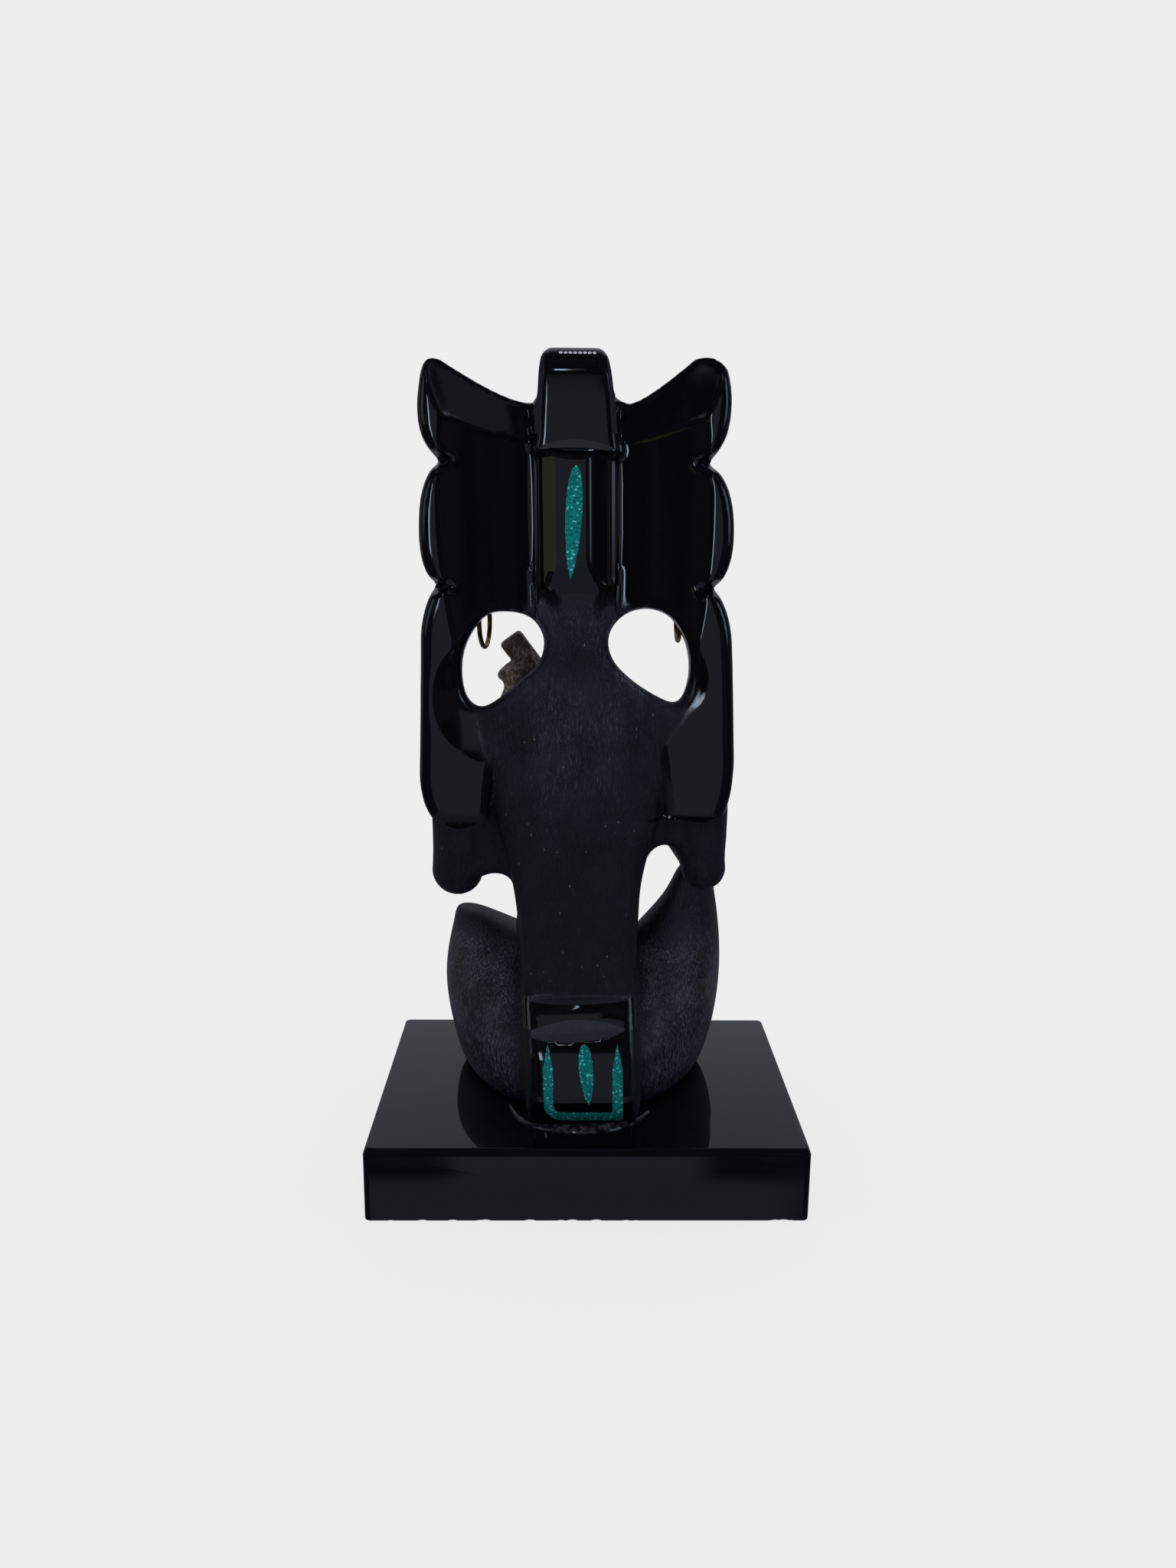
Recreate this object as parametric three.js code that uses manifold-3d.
// A small seated deity carved from one piece of obsidian, glued on a polished
// obsidian slab. It wears a tall feathered headdress with two hanging lappets and
// holds a sceptre across its chest. Narrow pockets in the back strap and in the
// back flap are filled with crushed teal stone, and a wire loop hangs from each
// ear flare.
//
// Millimetres, +Z up. The origin is the centre of the slab's underside. The carved
// back faces -Y, and the face and the crossed shins face +Y.

import * as THREE from 'three';
import { mergeVertices } from 'three/addons/utils/BufferGeometryUtils.js';
import Module from 'manifold-3d';

const wasm = await Module();
wasm.setup();

// The slab
const SLAB_WIDTH = 81.4;
const SLAB_DEPTH = 58;
const SLAB_HEIGHT = 14;
const SLAB_CORNER = 1.2;
const SLAB_CHAMFER = 1.1;

// The figure stands on the slab, a little left of its middle, and leans over
const FOOT_SHIFT = -1.3;
const LEAN_PER_MM = -0.015;
const TOP = 153.2;

// Levels of the figure, measured from the slab's underside
const LAPPET_FOOT = 71.2;
const SHOULDER = 93;
const CHIN = 108.5;
const STRAP_FOOT = 113.5;
const LOWER_NOTCH = 113.6;
const UPPER_NOTCH = 134.8;
const STRAP_LEDGE = 137.2;
const VALLEY = 144.6;

// Depths of the figure
const PLATE_BACK = -15;
const PLATE_FRONT = -4.5;
const STRAP_BACK = -18;
const FLAP_BACK = -21.4;
const FLANK_BACK = -10.4;
const FACE_FRONT = 12.5;

// The inlays
const INLAY_DEPTH = 1.1;
const INLAY_GAP = 0.15;

// The wire loops
const LEFT_LOOP_RADIUS = 4.85;
const RIGHT_LOOP_RADIUS = 4.1;
const WIRE_RADIUS = 0.45;
const LOOP_HOLE_RADIUS = 1.05;
const LOOP_TOP = 110.85;
const LOOP_DEPTH = 6;
const LEFT_LOOP_TURN = -0.14;
const EAR_SPREAD = 18.6;
const EAR_HEIGHT = 116;
const HEAD_SHIFT = 1.1;

const OBSIDIAN = { color: 0x0d0d12, roughness: 0.12, metalness: 0 };
const TEAL_STONE = { color: 0x04655e, roughness: 0.35, metalness: 0 };
const BRONZE_WIRE = { color: 0x6b5230, roughness: 0.35, metalness: 1 };

// Solids and booleans

function toSolid(geometry) {
  const bare = geometry.clone();
  bare.deleteAttribute('normal');
  bare.deleteAttribute('uv');
  const merged = mergeVertices(bare, 1e-4);
  return new wasm.Manifold(new wasm.Mesh({
    numProp: 3,
    vertProperties: Float32Array.from(merged.attributes.position.array),
    triVerts: Uint32Array.from(merged.index.array),
  }));
}

function toGeometry(solid) {
  const mesh = solid.getMesh();
  const geometry = new THREE.BufferGeometry();
  geometry.setAttribute('position', new THREE.BufferAttribute(Float32Array.from(mesh.vertProperties), 3));
  geometry.setIndex(new THREE.BufferAttribute(Uint32Array.from(mesh.triVerts), 1));
  return geometry;
}

function joined(solids) {
  return solids.reduce((sum, solid) => sum.add(solid));
}

function cutBy(solid, cutters) {
  return cutters.reduce((rest, cutter) => rest.subtract(cutter), solid);
}

// A closed skin over rings of points, each end closed by a fan
function skin(rings) {
  const sides = rings[0].length;
  const points = rings.flat();
  const middle = (ring) => ring
    .reduce((sum, point) => sum.add(point), new THREE.Vector3())
    .divideScalar(ring.length);
  const startPole = points.length;
  const endPole = startPole + 1;
  const all = [...points, middle(rings[0]), middle(rings.at(-1))];
  const faces = [];
  for (let ring = 0; ring < rings.length - 1; ring += 1) {
    for (let side = 0; side < sides; side += 1) {
      const a = ring * sides + side;
      const b = ring * sides + ((side + 1) % sides);
      faces.push(a, b, b + sides, a, b + sides, a + sides);
    }
  }
  const last = (rings.length - 1) * sides;
  for (let side = 0; side < sides; side += 1) {
    const next = (side + 1) % sides;
    faces.push(startPole, next, side, endPole, last + side, last + next);
  }
  let volume = 0;
  for (let i = 0; i < faces.length; i += 3) {
    const [a, b, c] = [all[faces[i]], all[faces[i + 1]], all[faces[i + 2]]];
    volume += a.dot(new THREE.Vector3().crossVectors(b, c));
  }
  if (volume < 0) faces.reverse();
  const geometry = new THREE.BufferGeometry().setFromPoints(all);
  geometry.setIndex(faces);
  return geometry;
}

// A body built from level sections: height, half width, back, front and the middle's
// shift. A power over 2 squares the section.
function loft(sections, { sides = 20, power = 2.4 } = {}) {
  const rounded = (value) => Math.sign(value) * Math.abs(value) ** (2 / power);
  return toSolid(skin(sections.map(([z, half, back, front, shift = 0]) => (
    Array.from({ length: sides }, (_, side) => {
      const angle = (2 * Math.PI * (side + 0.5)) / sides;
      const middle = (back + front) / 2;
      const depth = (front - back) / 2;
      return new THREE.Vector3(
        shift + half * rounded(Math.cos(angle)),
        middle + depth * rounded(Math.sin(angle)),
        z,
      );
    })
  ))));
}

// A limb along a curve through its joints, each with its own radius, with round ends
function limb(joints, { sides = 10, steps = 5 } = {}) {
  const curve = new THREE.CatmullRomCurve3(joints.map(([x, y, z]) => new THREE.Vector3(x, y, z)));
  const frames = curve.computeFrenetFrames(steps, false);
  const radiusAt = (t) => {
    const place = t * (joints.length - 1);
    const low = Math.min(Math.floor(place), joints.length - 2);
    return THREE.MathUtils.lerp(joints[low][3], joints[low + 1][3], place - low);
  };
  const ringAt = (step, radius, along) => Array.from({ length: sides }, (_, side) => {
    const angle = (2 * Math.PI * side) / sides;
    return curve.getPoint(step / steps)
      .addScaledVector(frames.tangents[step], along)
      .addScaledVector(frames.normals[step], radius * Math.cos(angle))
      .addScaledVector(frames.binormals[step], radius * Math.sin(angle));
  });
  const cap = [70, 35].map((degrees) => THREE.MathUtils.degToRad(degrees));
  const rings = cap.map((turn) => ringAt(0, radiusAt(0) * Math.cos(turn), -radiusAt(0) * Math.sin(turn)));
  for (let step = 0; step <= steps; step += 1) rings.push(ringAt(step, radiusAt(step / steps), 0));
  rings.push(...cap.toReversed().map((turn) => (
    ringAt(steps, radiusAt(1) * Math.cos(turn), radiusAt(1) * Math.sin(turn))
  )));
  return toSolid(skin(rings));
}

function ellipsoid([x, y, z], [rx, ry, rz], turn = [0, 0, 0], across = 14, up = 9) {
  const geometry = new THREE.SphereGeometry(1, across, up);
  geometry.scale(rx, ry, rz);
  geometry.applyMatrix4(new THREE.Matrix4().makeRotationFromEuler(new THREE.Euler(...turn)));
  geometry.translate(x, y, z);
  return toSolid(geometry);
}

function block(low, high) {
  const size = high.map((value, i) => value - low[i]);
  const geometry = new THREE.BoxGeometry(...size);
  geometry.translate(...low.map((value, i) => value + size[i] / 2));
  return toSolid(geometry);
}

// An upright outline in X and Z, pushed through from one depth to another
function panel(shape, back, front, bevel = 0, curveSegments = 6) {
  const geometry = new THREE.ExtrudeGeometry(shape, {
    depth: front - back - 2 * bevel,
    bevelEnabled: bevel > 0,
    bevelThickness: bevel,
    bevelSize: bevel,
    bevelOffset: -bevel,
    bevelSegments: 2,
    curveSegments,
  });
  geometry.rotateX(Math.PI / 2);
  geometry.translate(0, front - bevel, 0);
  return toSolid(geometry);
}

function bothSides(solid) {
  return [solid, solid.mirror([1, 0, 0])];
}

// A level grinding wheel with a wedge for a rim, so that its cut is a pointed lens
function wheel([x, y, z], radius, half, rim = 0) {
  const profile = [
    [0, -half], [radius * 0.72, -half], [radius, -rim], [radius, rim], [radius * 0.72, half], [0, half],
  ].map(([r, h]) => new THREE.Vector2(r, h));
  const geometry = new THREE.LatheGeometry(profile, 16);
  geometry.rotateX(Math.PI / 2);
  geometry.translate(x, y, z);
  return toSolid(geometry);
}

// Half of the headdress plate, from the valley beside the crest, over the ear, the
// wing and the lappet, to the lappet's foot. Each curve is its control points, then
// its end. The two halves were cut by eye and differ a little.
const RIGHT_HALF = {
  start: [6, 147.6],
  curves: [
    [[7.4, 144.9], [9.8, VALLEY + 0.2]], [[12.9, 145.6], [20.6, 151.9]], [[23.9, 152.9], [26, 150]],
    [[27.4, 145.2], [26.2, 140]], [[25.4, 137.4], [23, UPPER_NOTCH]],
    [[26.2, 133], [27.6, 129], [27.6, 122.8]], [[27.6, 116.6], [24.4, LOWER_NOTCH - 0.1]],
    [[27.1, 110.2], [27.6, 104.4]], [[28.1, 94], [28.4, 83]], [[28.4, 75], [25.8, LAPPET_FOOT]],
  ],
};
const LEFT_HALF = {
  start: [6, 145.6],
  curves: [
    [[6.6, 144.7], [8.2, VALLEY + 0.2]], [[12, 145], [21.3, 150.5]], [[25.2, 153.3], [26, 148.5]],
    [[27.2, 142.5], [26.1, 139]], [[25.3, 136.9], [23.3, UPPER_NOTCH - 0.1]],
    [[26.1, 132.6], [27, 128.4], [27.1, 123]], [[27.3, 116.2], [24.4, LOWER_NOTCH + 0.3]],
    [[26.8, 110.6], [27.4, 105.2]], [[27.8, 94], [28.5, 80]], [[28.5, 74], [26, LAPPET_FOOT + 0.2]],
  ],
};

function halfOutline({ start, curves }) {
  const path = new THREE.Path();
  path.moveTo(...start);
  for (const points of curves) {
    if (points.length === 3) path.bezierCurveTo(...points.flat());
    else path.quadraticCurveTo(...points.flat());
  }
  path.lineTo(16.4, LAPPET_FOOT - 0.4);
  path.quadraticCurveTo(15.2, 84, 14, 100);
  return path.getPoints(4);
}

function plateOutline() {
  const left = halfOutline(LEFT_HALF).toReversed().map((point) => new THREE.Vector2(-point.x, point.y));
  return new THREE.Shape([...halfOutline(RIGHT_HALF), ...left]);
}

// The rims of the neck holes, and how they widen towards the back
const RIGHT_RIM = [
  [12.9, 110.1], [9, 109.2], [6.4, 106.6], [5.7, 103.6], [7, 100.2], [10.5, 96.9],
  [14.9, 94.2], [17.9, 93.4], [19.6, 95.8], [20.2, 100], [19.4, 104.4], [16.8, 108.6],
];
const LEFT_RIM = [
  [12.2, 109.4], [8.4, 108.6], [6.3, 106.3], [5.7, 103.4], [6.9, 100], [10, 97.2],
  [13.2, 94.4], [17.1, 92.3], [19.8, 94.5], [20.4, 99.6], [19.2, 104.3], [16, 108.6],
];
const HOLE_WIDENS = [[-22, 1.3], [-15.2, 1.16], [-13.2, 1.0], [5, 1.0]];

function neckHole(side, rim) {
  const points = rim.map(([x, z]) => new THREE.Vector3(side * x, 0, z));
  const curve = new THREE.CatmullRomCurve3(points, true);
  const middle = new THREE.Vector3(side * 12.7, 0, 102.4);
  const ringAt = ([y, spread]) => curve.getPoints(18).slice(0, -1).map((point) => (
    point.clone().sub(middle).multiplyScalar(spread).add(middle)
      .setY(y)
  ));
  return toSolid(skin(HOLE_WIDENS.map(ringAt)));
}

function headdress() {
  const plate = panel(plateOutline(), PLATE_BACK, PLATE_FRONT, 1.6);
  const dishes = [
    ellipsoid([17.2, PLATE_BACK - 4.6, 141.5], [6.4, 6.6, 9.5], [0, -0.35, 0]),
    ellipsoid([16.8, PLATE_BACK - 4.4, 123.6], [6.8, 6.6, 12]),
    ellipsoid([21.4, PLATE_BACK - 7.2, 88], [4.6, 8.6, 16]),
  ];
  const flute = limb([
    [8.6, -16.6, 111, 2.5], [8.6, -16.2, 128, 2.6], [8.5, -16.6, 148, 2.6],
  ], { steps: 2 });
  const creases = [
    wheel([28.5, PLATE_BACK - 5.4, UPPER_NOTCH + 0.2], 11, 2.4),
    wheel([29.2, PLATE_BACK - 5.2, LOWER_NOTCH + 0.1], 10.4, 2.2),
  ];
  const frontRays = [142, 122].map((z) => (
    wheel([22.5, PLATE_FRONT + 9.2, z], 11, 1.6)
  ));
  const cutters = [...dishes, flute, ...creases, ...frontRays].flatMap(bothSides);
  return cutBy(plate, cutters);
}

// The strap down the middle of the back: a block, a ledge, then a bevelled band
function strap() {
  const crest = loft([
    [STRAP_LEDGE, 6.9, STRAP_BACK, 3, 0.4],
    [VALLEY, 6.6, STRAP_BACK + 0.1, 3.6, 0.3],
    [150, 6.05, STRAP_BACK + 0.5, 2.4, 0.15],
    [152.4, 5.4, STRAP_BACK + 1.6, 1, 0.1],
    [TOP, 4, STRAP_BACK + 3.4, -1, 0.1],
  ], { power: 7 });
  const bandSection = new THREE.Shape([
    [-6.3, PLATE_BACK + 3], [-6.1, STRAP_BACK + 1.9], [-4.6, STRAP_BACK], [2.2, STRAP_BACK],
    [6.3, STRAP_BACK + 2.4], [6.9, PLATE_BACK + 3],
  ].map(([x, y]) => new THREE.Vector2(x, y)));
  const bandGeometry = new THREE.ExtrudeGeometry(bandSection, {
    depth: STRAP_LEDGE - STRAP_FOOT, bevelEnabled: false,
  });
  bandGeometry.translate(0, 0, STRAP_FOOT);
  const slope = wheel([0, STRAP_BACK - 9, STRAP_LEDGE - 1.3], 11.4, 3.4, 1.2);
  const band = toSolid(bandGeometry).subtract(slope);
  const foot = loft([
    [100, 3.4, -13.6, 0, 0.3],
    [107.5, 3.8, -15.2, 0, 0.4],
    [STRAP_FOOT + 0.5, 6.2, -16.2, 0, 0.3],
  ], { power: 8 });
  return joined([crest, band, foot]);
}

// The face is a plain calm mask under a brow band, between two ear flares
function head() {
  const skull = loft([
    [CHIN, 4.6, -8, 10.2],
    [110.5, 6.6, -8, 11.6],
    [115, 9.2, -8, FACE_FRONT - 0.2],
    [121, 10.8, -8, FACE_FRONT],
    [128, 11.2, -8, FACE_FRONT - 0.4],
    [134, 10.8, -8, FACE_FRONT - 1.4],
  ], { power: 2.6 });
  const nose = loft([
    [117.2, 2.7, 8, FACE_FRONT + 1.2],
    [118.6, 2.5, 8, FACE_FRONT + 2.8],
    [123, 1.5, 8, FACE_FRONT + 1.3],
    [127, 1.2, 8, FACE_FRONT + 0.2],
  ], { sides: 10, power: 2 });
  const eyes = bothSides(ellipsoid([4.9, FACE_FRONT - 1.3, 123.4], [2.4, 1.3, 1.1], [0, 0, 0.2], 10, 6));
  const lips = ellipsoid([0, FACE_FRONT - 0.4, 113.9], [3.3, 1.2, 1.1], [0, 0, 0], 10, 6);
  const mouthLine = wheel([0, FACE_FRONT + 3.9, 113.9], 4.2, 0.5);
  const brow = loft([
    [127.4, 12.2, -8, FACE_FRONT + 0.4],
    [129, 12.8, -8, FACE_FRONT + 1.2],
    [135.4, 12.8, -8, FACE_FRONT + 1.0],
    [137, 12.2, -8, FACE_FRONT],
  ], { power: 3 });
  const frontCrest = loft([
    [136, 6.4, -6, FACE_FRONT - 0.6],
    [145, 5.8, -6, FACE_FRONT - 3],
    [149, 5.2, -6, FACE_FRONT - 6],
    [151, 4.2, -6, FACE_FRONT - 9],
  ], { power: 5 });
  const bosses = bothSides(ellipsoid([7.4, FACE_FRONT + 0.4, 132.2], [2, 1.6, 2], [0, 0, 0], 10, 6));
  const face = joined([skull, nose, lips, ...eyes]).subtract(mouthLine);
  return joined([face, brow, frontCrest, ...bosses]);
}

// An ear flare: a round spool whose thin rim is drilled for the wire loop
function earFlare() {
  const profile = [
    [0, -6], [5, -6], [5, 4.4], [7, 4.6], [7, 7.2], [6.4, 7.6], [3.2, 7.0], [2.6, 8.8], [0, 9.2],
  ].map(([radius, depth]) => new THREE.Vector2(radius, depth));
  const geometry = new THREE.LatheGeometry(profile, 16);
  geometry.translate(EAR_SPREAD, 0, EAR_HEIGHT);
  return toSolid(geometry);
}

function loopHole() {
  const geometry = new THREE.CylinderGeometry(LOOP_HOLE_RADIUS, LOOP_HOLE_RADIUS, 8, 10);
  geometry.translate(EAR_SPREAD, LOOP_DEPTH + 1.6, LOOP_TOP);
  return toSolid(geometry);
}

function torso() {
  return loft([
    [SLAB_HEIGHT - 1, 9.8, -15, 12],
    [30, 10.2, -15.2, 9],
    [42, 10.8, -14.6, 7],
    [50, 11.5, -13.6, 6],
    [57, 12, -13.4, 6.4, -0.3],
    [66, 13.8, -13.4, 7.4],
    [78, 17, -13.6, 8],
    [SHOULDER - 5, 19.2, -13.6, 7],
    [SHOULDER - 1, 18.2, -13.2, 5.4],
    [96.6, 11.8, -12.9, 4],
    [100.4, 7, -13, 3.4],
    [106, 5.6, -13.4, 3.4],
    [113, 5.8, -14, 3.6],
  ], { power: 4 });
}


// The flank between the torso and an elbow ends below in an arch
function flank(side, inner, arch, outer, bend) {
  const shape = new THREE.Shape();
  shape.moveTo(side * 8, 86);
  shape.lineTo(side * 8, inner[1]);
  shape.lineTo(side * inner[0], inner[1]);
  shape.quadraticCurveTo(side * inner[0], arch[1], side * arch[0], arch[1]);
  shape.quadraticCurveTo(side * bend, arch[1], side * outer[0], outer[1]);
  shape.lineTo(side * 21, 86);
  return panel(shape, FLANK_BACK, 2.5);
}

function armsAndSceptre() {
  const upperArms = [
    limb([
      [-20.6, -3, 86, 5.6], [-21.8, -3.8, 76, 5.6], [-22.2, -3.8, 66, 5.5], [-23.4, -3.4, 59.4, 4.7],
    ]),
    limb([[20.6, -3, 86, 5.6], [22.6, -3.8, 76, 5.9], [23, -3.8, 66, 5.7], [24.4, -3.4, 59.4, 4.2]]),
  ];
  const flanks = [
    flank(-1, [11.2, 50], [15.2, 60.4], [22.6, 55.4], 18.4),
    flank(1, [11.2, 50], [16, 66], [20, 60], 19.6),
  ];
  const leftForearm = limb([
    [-22.8, -1, 62, 5], [-19.8, 4.6, 74, 5], [-15.4, 9.6, 86, 4.4], [-12, 12, 92, 3.8],
  ]);
  const rightForearm = limb([
    [22.8, -1, 62, 5], [19, 6, 65, 4.8], [13.6, 11.4, 69, 4.2], [9.6, 13.6, 72.6, 3.6],
  ]);
  const leftFist = ellipsoid([-11.5, 12.8, 94], [4.4, 4.4, 3.7], [0, 0.5, 0], 12, 8);
  const rightFist = ellipsoid([8.4, 13.6, 73], [4.4, 4.2, 3.9], [0, 0.5, 0], 12, 8);
  const top = new THREE.Vector3(-13.2, 13.6, 102.4);
  const end = new THREE.Vector3(12.6, 15, 67);
  const along = end.clone().sub(top);
  const rod = new THREE.BoxGeometry(5, 3.6, along.length());
  const turn = new THREE.Quaternion().setFromUnitVectors(
    new THREE.Vector3(0, 0, -1),
    along.clone().normalize(),
  );
  rod.applyQuaternion(turn);
  rod.translate(...top.clone().add(end).multiplyScalar(0.5).toArray());
  const pommel = ellipsoid(end.toArray(), [3.4, 2.8, 3.4], [0, 0, 0], 12, 8);
  return joined([
    ...upperArms, ...flanks, leftForearm, rightForearm, leftFist, rightFist, toSolid(rod), pommel,
  ]);
}

// Raised knees seen from behind as two leaves, shins crossed in front. The right
// knee carries the right elbow.
function legs() {
  const thighRun = { sides: 13, steps: 7 };
  const leftThigh = limb([
    [-9, -7, 24, 9], [-14.8, -1, 29, 10.9], [-16.2, 4.6, 35, 10.9],
    [-19.9, 9.6, 40, 7.6], [-21.9, 12, 43.3, 4.3],
  ], thighRun);
  const rightThigh = limb([
    [9, -7, 24, 9], [15.9, -1, 29, 11.4], [18.5, 4.6, 36.4, 10.7], [22, 7.6, 45.4, 7], [23.1, 7, 53, 4.7],
  ], thighRun);
  const shin = limb([
    [20.8, 11, 38, 5], [21.2, 15.4, 30, 6.4], [20, 17, 22, 7.2],
    [10, 18.6, 19.4, 6.2], [-2, 20.4, 18.6, 4.6],
  ], { sides: 10, steps: 7 });
  const seat = loft([
    [SLAB_HEIGHT - 1, 17, -12, 18], [20, 19.5, -12, 20], [26, 18, -10, 17], [32, 12, -8, 12],
  ], { power: 2.4 });
  return joined([leftThigh, rightThigh, ...bothSides(shin), seat]);
}

// The flap of the loincloth falls behind the seat, under a narrow belt, and turns in
// at its foot
function flap() {
  return loft([
    [SLAB_HEIGHT - 1, 9, FLAP_BACK + 1.9, 0, 0.6],
    [17, 9.8, FLAP_BACK + 0.4, 0, 0.8],
    [20, 9.8, FLAP_BACK, 0, 0.8],
    [24, 9.8, FLAP_BACK + 0.4, 0, 0.8],
    [31, 9.8, FLAP_BACK + 1.5, 0, 0.6],
    [36, 9.8, FLAP_BACK + 2.8, 0, 0.3],
    [40, 9.6, FLAP_BACK + 4.6, 0, 0.1],
  ], { power: 5.5 });
}

function apron() {
  return loft([
    [SLAB_HEIGHT - 1, 4.2, 10, 25],
    [22, 4.6, 8, 25.6],
    [30, 5, 6, 21],
    [40, 5.4, 0, 12.4],
    [46, 10.6, -6, 9],
  ], { power: 5 });
}

// A pointed lens, upright or leaning, for a wheel-cut stroke
function lens(x, z, length, width, turn = 0) {
  const shape = new THREE.Shape();
  const half = length / 2;
  shape.moveTo(0, -half);
  shape.quadraticCurveTo(width, 0, 0, half);
  shape.quadraticCurveTo(-width, 0, 0, -half);
  const points = shape.getPoints(6).map((point) => (
    point.rotateAround(new THREE.Vector2(), turn).add(new THREE.Vector2(x, z))
  ));
  return new THREE.Shape(points.slice(0, -1));
}

const STRAP_INLAY = { x: -0.3, z: 124.7, length: 19.4, width: 3.1, turn: -0.055 };
const FLAP_STROKES = { left: -5.9, right: 7, top: 30.8, foot: 15.3, width: 2.1 };
const MIDDLE_STROKE = { x: 1.1, z: 24.6, length: 12, width: 2.6, turn: 0.05 };

function strapStroke(gap, back) {
  const { x, z, length, width, turn } = STRAP_INLAY;
  const shape = lens(x, z, length - 4 * gap, width - 2 * gap, turn);
  return panel(shape, back, STRAP_BACK + INLAY_DEPTH);
}

function middleStroke(gap) {
  const { x, z, length, width, turn } = MIDDLE_STROKE;
  return panel(lens(x, z, length - 4 * gap, width - 2 * gap, turn), FLAP_BACK - 2, FLAP_BACK + 3);
}

function uStroke(gap) {
  const { left, right, top, foot, width } = FLAP_STROKES;
  const half = width / 2 - gap;
  const tip = top - 3 * gap;
  const shape = new THREE.Shape();
  shape.moveTo(left, tip);
  shape.lineTo(left - half, top - 5);
  shape.lineTo(left - half * 0.8, foot + 3);
  shape.quadraticCurveTo(left, foot + gap, left + 3, foot + gap);
  shape.lineTo(right + half, foot + gap);
  shape.lineTo(right + half, top - 5);
  shape.lineTo(right, tip);
  shape.lineTo(right - half, top - 5);
  shape.lineTo(right - half, foot + width - gap);
  shape.lineTo(left + half + 1.4, foot + width - gap);
  shape.quadraticCurveTo(left + half, foot + width - gap, left + half, foot + width + 2);
  shape.lineTo(left + half, top - 5);
  return panel(shape, FLAP_BACK - 2, FLAP_BACK + 3);
}

// A pocket in the flap follows its face, one inlay's depth below it
function flapPocket(stroke, flapSolid) {
  return stroke.subtract(flapSolid.translate([0, INLAY_DEPTH, 0]));
}

function flapInlay(stroke, flapSolid) {
  return flapPocket(stroke, flapSolid).intersect(flapSolid);
}

// Everything in the stone's own frame leans over with the figure
function leaned(geometry) {
  const shear = new THREE.Matrix4().set(
    1, 0, LEAN_PER_MM, FOOT_SHIFT - LEAN_PER_MM * SLAB_HEIGHT,
    0, 1, 0, 0,
    0, 0, 1, 0,
    0, 0, 0, 1,
  );
  return geometry.applyMatrix4(shear);
}

function buildFigure(flapSolid) {
  const headSide = [HEAD_SHIFT, 0, 0];
  const flares = bothSides(earFlare()).map((flare) => flare.translate(headSide));
  const face = head().translate(headSide);
  const body = [strap(), face, torso(), armsAndSceptre(), legs(), apron(), flapSolid];
  const beltGrooves = [
    wheel([0, -54, 38.2], 36.9, 1.1, 0.6),
    wheel([0.4, -41, 33.2], 22.4, 2.6, 0.5),
  ];
  const pockets = [
    strapStroke(0, STRAP_BACK - 2),
    flapPocket(middleStroke(0), flapSolid),
    flapPocket(uStroke(0), flapSolid),
  ];
  const loopHoles = bothSides(loopHole()).map((hole) => hole.translate(headSide));
  const holes = [neckHole(1, RIGHT_RIM), neckHole(-1, LEFT_RIM), ...loopHoles];
  const below = block([-60, -60, -20], [60, 60, SLAB_HEIGHT]);
  return cutBy(joined([headdress(), ...body, ...flares]), [...holes, ...beltGrooves, ...pockets, below]);
}

function slab() {
  const half = [SLAB_WIDTH / 2, SLAB_DEPTH / 2];
  const ringAt = ([z, inset]) => {
    const [x, y] = half.map((value) => value - inset);
    const ring = [];
    for (let corner = 0; corner < 4; corner += 1) {
      const sx = corner === 0 || corner === 3 ? 1 : -1;
      const sy = corner < 2 ? 1 : -1;
      for (let step = 0; step <= 3; step += 1) {
        const angle = (Math.PI / 2) * (corner + step / 3);
        ring.push(new THREE.Vector3(
          sx * (x - SLAB_CORNER) + SLAB_CORNER * Math.cos(angle),
          sy * (y - SLAB_CORNER) + SLAB_CORNER * Math.sin(angle),
          z,
        ));
      }
    }
    return ring;
  };
  return skin([
    [0, 0.6], [0.4, 0.25], [1.2, 0.15], [SLAB_HEIGHT - SLAB_CHAMFER, 0], [SLAB_HEIGHT, SLAB_CHAMFER],
  ].map(ringAt));
}

function wireLoop(side, radius, turn) {
  const geometry = new THREE.TorusGeometry(radius, WIRE_RADIUS, 6, 20);
  geometry.rotateY(Math.PI / 2);
  geometry.rotateZ(turn);
  geometry.translate(side * EAR_SPREAD + HEAD_SHIFT, LOOP_DEPTH, LOOP_TOP - radius);
  return geometry;
}

function named(name, geometry, finish) {
  geometry.computeVertexNormals();
  const mesh = new THREE.Mesh(geometry, new THREE.MeshStandardMaterial(finish));
  mesh.name = name;
  return mesh;
}

const flapSolid = flap();
const stone = {
  figure: buildFigure(flapSolid),
  strap: strapStroke(INLAY_GAP, STRAP_BACK),
  middle: flapInlay(middleStroke(INLAY_GAP), flapSolid),
  u: flapInlay(uStroke(INLAY_GAP), flapSolid),
};

const statuette = new THREE.Group();
statuette.add(
  named('obsidian_base', slab(), OBSIDIAN),
  named('obsidian_figure', leaned(toGeometry(stone.figure)), OBSIDIAN),
  named('strap_inlay', leaned(toGeometry(stone.strap)), TEAL_STONE),
  named('flap_middle_inlay', leaned(toGeometry(stone.middle)), TEAL_STONE),
  named('flap_u_inlay', leaned(toGeometry(stone.u)), TEAL_STONE),
  named('left_earring', leaned(wireLoop(-1, LEFT_LOOP_RADIUS, LEFT_LOOP_TURN)), BRONZE_WIRE),
  named('right_earring', leaned(wireLoop(1, RIGHT_LOOP_RADIUS, 0)), BRONZE_WIRE),
);

export default statuette;
